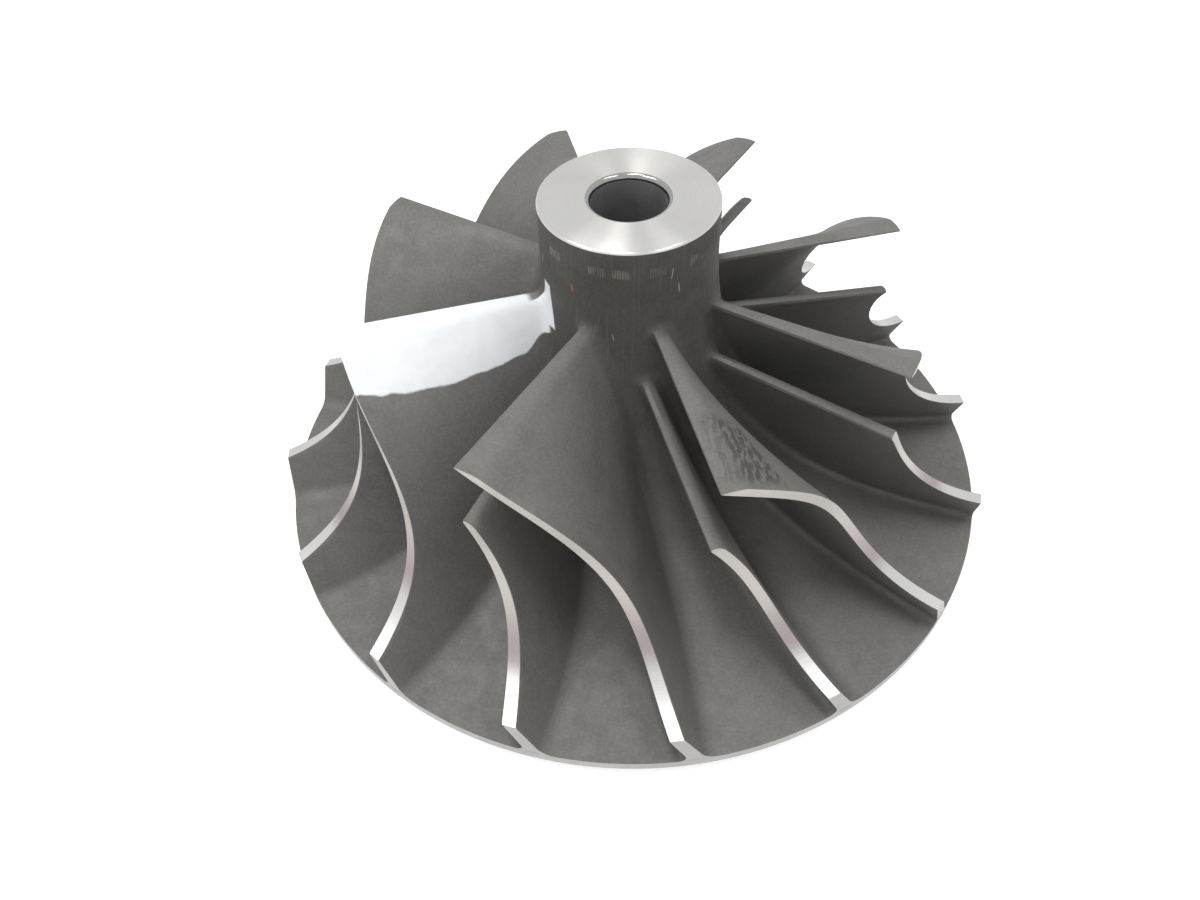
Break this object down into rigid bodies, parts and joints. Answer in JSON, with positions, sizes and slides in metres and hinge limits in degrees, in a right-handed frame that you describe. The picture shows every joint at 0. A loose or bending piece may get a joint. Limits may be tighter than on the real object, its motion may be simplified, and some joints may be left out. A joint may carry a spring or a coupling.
{
  "type": "compressor wheel",
  "caption": "One-piece turbocharger compressor wheel with full and splitter blades, a long nose and a through bore.",
  "frame": {"origin": "on the shaft axis, in the flat face of the boss under the disc", "axes": "+Z along the shaft axis, from the boss to the nose; the air comes in along -Z"},
  "size_m": [0.102, 0.102, 0.0484],
  "materials": {
    "cast_aluminium": "matt as cast, with turned and milled edges"
  },
  "bodies": {
    "root": {"compressor_wheel": "cast_aluminium"}
  },
  "joints": []
}
